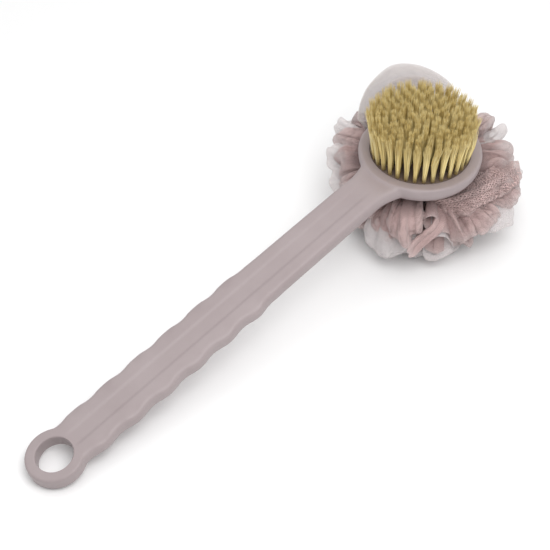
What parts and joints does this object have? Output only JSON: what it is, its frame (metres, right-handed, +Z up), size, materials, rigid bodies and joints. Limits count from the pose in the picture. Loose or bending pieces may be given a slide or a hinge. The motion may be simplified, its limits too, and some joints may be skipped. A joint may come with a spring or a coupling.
{
  "type": "back scrubber",
  "caption": "Long-handled bath scrubber: a round bristle head on a wavy-edged plastic handle with a hanging hole, and a gathered net pouf tied to the back of the head.",
  "frame": {"origin": "middle of the bounding box at ground level, with the hanging ring and the pouf both touching the ground", "axes": "+X from the hanging ring towards the head, +Z up, the way the bristles point"},
  "size_m": [0.3738, 0.13, 0.0963],
  "materials": {
    "handle_plastic": "satin moulded plastic, dusty mauve",
    "plate_plastic": "moulded plastic, darker mauve brown",
    "bristle_nylon": "cream-yellow drawn filament",
    "washer_plastic": "plain white plastic",
    "cord_fibre": "twisted cord",
    "mauve_net": "fine dusty-pink bath netting",
    "coarse_net": "open dusty-pink bath netting",
    "white_net": "sheer off-white netting"
  },
  "bodies": {
    "brush": {"handle": "handle_plastic", "bristle_plate": "plate_plastic", "bristle_tuft_centre": "bristle_nylon", "bristle_row_1": "bristle_nylon", "bristle_row_2": "bristle_nylon", "bristle_row_3": "bristle_nylon", "bristle_row_4": "bristle_nylon", "bristle_row_5": "bristle_nylon", "bristle_row_6": "bristle_nylon", "bristle_row_7": "bristle_nylon", "cord_washer": "washer_plastic"},
    "pouf": {"hanging_cord": "cord_fibre", "inner_knot": "cord_fibre", "outer_knot": "cord_fibre", "cinch_tie": "cord_fibre", "gathered_core": "mauve_net", "mauve_net_upper": "mauve_net", "mauve_net_lower": "mauve_net", "coarse_net_band": "coarse_net", "white_net_collar": "white_net", "white_net_skirt": "white_net"}
  },
  "joints": [
    {"name": "pouf_swivel", "type": "hinge", "parent": "brush", "child": "pouf", "pos_m": [0.12202, 0, 0.052], "axis": [0, 0, 1], "range_deg": [-28, 28]}
  ]
}
